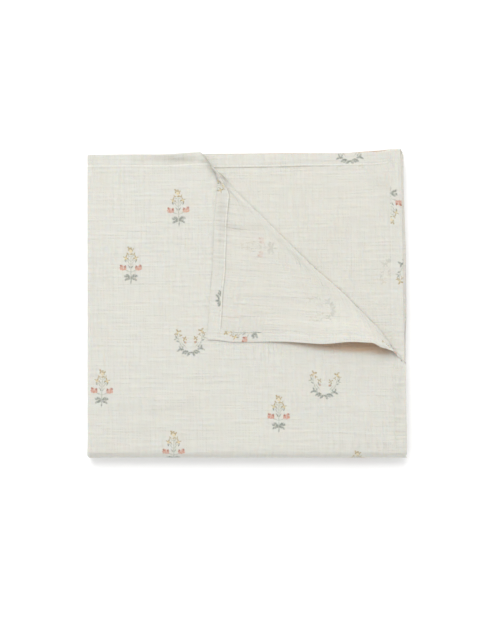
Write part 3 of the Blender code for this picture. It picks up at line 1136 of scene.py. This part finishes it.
def ink_share(tree, ink, spot, twin, is_garland):
    """Share of one ink at this place of the nearest sprig."""
    total = 0.0
    for kind, shown in ((POSY, maths(tree, "SUBTRACT", 1.0, is_garland)), (GARLAND, is_garland)):
        drawn = 0.0
        for mark in (Mark(*row) for row in MARKS[kind]):
            if mark.ink == ink:
                drawn = maths(tree, "MAXIMUM", draw_mark(tree, mark, twin if mark.pair else spot), drawn)
        if drawn:
            total = maths(tree, "MULTIPLY_ADD", drawn, shown, total)
    return total


def gauze_relief(tree):
    """Height of the waffled gauze, and of its weave alone."""
    straight = read(tree, "place")
    grain = split(tree, straight)
    place = mix(tree, "Vector", grain["Z"], straight, join(tree, grain["Y"], grain["X"], grain["Z"]))
    patches = ranged(tree, noise(tree, place, PATCH_WAVES), *PATCH_RANGE)
    ribs = times(tree, maths(tree, "SUBTRACT", noise(tree, place, RIB_WAVES), 0.5), patches)
    ripples = noise(tree, place, RIPPLE_WAVES)
    weave = maths(tree, "ADD", noise(tree, place, WARP_WAVES, 0.0), noise(tree, place, WEFT_WAVES, 0.0))
    height = noise(tree, place, STREAK_WAVES)
    for part, share in ((ribs, RIB_SHARE), (ripples, RIPPLE_SHARE), (weave, WEAVE_SHARE)):
        height = maths(tree, "MULTIPLY_ADD", part, share, height)
    return height, weave


def lay_inks(tree, colour, back, weave):
    """Colour with the sprigs' inks on it, wavering at the edges and broken up by the weave."""
    sprig = read(tree, "sprig")
    inputs = {"Vector": sprig, "Scale": WOBBLE_WAVES, "Detail": 2.0}
    wobble = add_node(tree, "TexNoise", inputs).outputs["Color"]
    inputs = {0: wobble, 1: (0.5, 0.5, 0.5)}
    centred = add_node(tree, "VectorMath", inputs, operation="SUBTRACT").outputs[0]
    inputs = {0: centred, 1: WOBBLE, 2: sprig}
    moved = add_node(tree, "VectorMath", inputs, operation="MULTIPLY_ADD").outputs[0]
    parts = split(tree, moved)
    spot = join(tree, parts["X"], parts["Y"])
    twin = join(tree, maths(tree, "ABSOLUTE", parts["X"]), parts["Y"])
    is_garland = maths(tree, "GREATER_THAN", parts["Z"], (POSY + GARLAND) / 2)
    cover = ranged(tree, weave, *COVER_RANGE)
    for name, ink in INKS.items():
        share = ink_share(tree, name, spot, twin, is_garland)
        strength = ranged(tree, back, 0.0, 1.0, INK_STRENGTH, ink.through)
        colour = blend(tree, times(tree, share, cover, strength), colour, ink.colour)
    return colour


def lay_shades(tree, colour):
    """Colour with a painted highlight and a painted shadow line at each ledge, a painted highlight along the
    fold's crest, painted shade in the creases, and a warm painted shadow in the mouth under the lifted edge.
    """
    shades = split(tree, read(tree, "shade"))
    ledges = split(tree, read(tree, "ledge"))
    broken = noise(tree, read(tree, "place"), BROKEN_WAVES, 2.0)
    strength = ranged(tree, read(tree, "side", "Fac"), 0.0, 1.0, FACE_LEDGE_SHADOW, 1.0)
    # Painted shadow line beside each hem's ledge, and a painted highlight line beside it
    ledge_shadow = line_share(tree, shades["X"], *LEDGE_SHADOW_LINE)
    ledge_shadow = times(tree, ledge_shadow, ranged(tree, broken, *LEDGE_BREAKS), strength, ledges["X"])
    painted_highlight = times(tree, line_share(tree, shades["X"], *LEDGE_HIGHLIGHT_LINE), ledges["Y"])
    # Painted highlight along the fold's crest
    painted_highlight = maths(tree, "MAXIMUM", painted_highlight, times(tree, ledges["Z"], FOLD_HIGHLIGHT))
    # Painted shade in the creases and puckers
    painted_crease_shade = times(tree, shades["Y"], ranged(tree, broken, *CREASE_BREAKS))
    colour = blend(tree, painted_highlight, colour, CLOTH_HIGHLIGHT)
    colour = blend(tree, maths(tree, "MAXIMUM", painted_crease_shade, ledge_shadow), colour, CREASE_SHADE)
    # Warm painted shadow in the mouth under the lifted edge
    return blend(tree, times(tree, shades["Z"], MOUTH_SHADOW_STRENGTH), colour, MOUTH_SHADE)


def make_muslin():
    """Printed double gauze: waffled crinkle with painted shade in its valleys, open weave, ink that shows
    through to the back, and the painted shade and highlights of lay_shades.
    """
    material, tree, shader = new_material("muslin")
    height, weave = gauze_relief(tree)
    back = read(tree, "back", "Fac")
    painted_valley_shade = ranged(tree, height, *VALLEY_RANGE)
    colour = blend(tree, back, CLOTH_FACE, CLOTH_BACK)
    # Painted shade darkens the crinkle's valleys
    colour = blend(tree, times(tree, painted_valley_shade, VALLEY_SHADE), colour, CLOTH_VALLEY_SHADE)
    colour = lay_shades(tree, lay_inks(tree, colour, back, weave))
    normal = relief(tree, height, RELIEF)
    feed(tree, shader, {"Base Color": colour, "Normal": normal, **MUSLIN_FINISH})
    return material


def make_thread():
    """Cotton sewing thread, with a twist."""
    material, tree, shader = new_material("thread")
    place = add_node(tree, "TexCoord", {}).outputs["Object"]
    twist = noise(tree, place, TWIST_WAVES)
    colour = blend(tree, ranged(tree, twist, *TWIST_RANGE), THREAD_DARK, THREAD_LIGHT)
    normal = relief(tree, twist, TWIST_RELIEF, TWIST_STRENGTH)
    feed(tree, shader, {"Base Color": colour, "Normal": normal, **THREAD_FINISH})
    return material


def make_white():
    """Matt white of the studio floor, hardly mottled."""
    material, tree, shader = new_material("white_floor")
    place = add_node(tree, "TexCoord", {}).outputs["Object"]
    colour = blend(tree, noise(tree, place, MOTTLE_WAVES, 2.0), FLOOR_DARK, FLOOR_LIGHT)
    feed(tree, shader, {"Base Color": colour, **FLOOR_FINISH})
    return material


# ---- Floor, camera and light ----

FLOOR_SIZE = 8

# The view: straight above the cloth. The scale is in metres for each pixel of the picture's height.
IMAGE_HEIGHT = 625
SCALE = 0.000943
LENS = 85
SENSOR = 36
VIEW_X = 0.0028
VIEW_Y = -0.0066
TOP_OF_CLOTH = 0.021

# White surroundings, and a lamp above the cloth's far side
SURROUND = 0.90
KEY_SIZE = 2.0
KEY_POWER = 72
KEY_PLACE = (-0.5, 2.0, 2.8)


def make_floor():
    """Plain white studio floor."""
    bpy.ops.mesh.primitive_plane_add(size=FLOOR_SIZE, location=(0, 0, 0))
    floor = bpy.context.object
    floor.name = "studio_floor"
    floor.data.materials.append(make_white())


def make_camera():
    """Camera straight above, a little off the cloth's middle."""
    distance = SCALE * IMAGE_HEIGHT * LENS / SENSOR
    data = bpy.data.cameras.new("camera")
    data.lens = LENS
    data.sensor_fit = "VERTICAL"
    data.sensor_height = SENSOR
    camera = bpy.data.objects.new("camera", data)
    camera.location = (VIEW_X, VIEW_Y, distance + TOP_OF_CLOTH)
    bpy.context.scene.collection.objects.link(camera)
    bpy.context.scene.camera = camera


def make_light():
    """White surroundings and one broad soft lamp."""
    world = bpy.data.worlds.new("studio")
    bpy.context.scene.world = world
    world.use_nodes = True
    background = world.node_tree.nodes["Background"]
    background.inputs["Color"].default_value = (1, 1, 1, 1)
    background.inputs["Strength"].default_value = SURROUND
    data = bpy.data.lights.new("key", "AREA")
    data.size = KEY_SIZE
    data.energy = KEY_POWER
    key = bpy.data.objects.new("key", data)
    key.location = KEY_PLACE
    key.rotation_euler = Vector(KEY_PLACE).to_track_quat("Z", "Y").to_euler()
    bpy.context.scene.collection.objects.link(key)
    bpy.context.scene.view_settings.view_transform = "Standard"


# ---- The scene ----

cloth = make_cloth(make_muslin())
stitches = make_stitches(make_thread())
for piece in (cloth, stitches):
    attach(piece, "root")
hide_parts(NODE)
make_floor()
make_camera()
make_light()
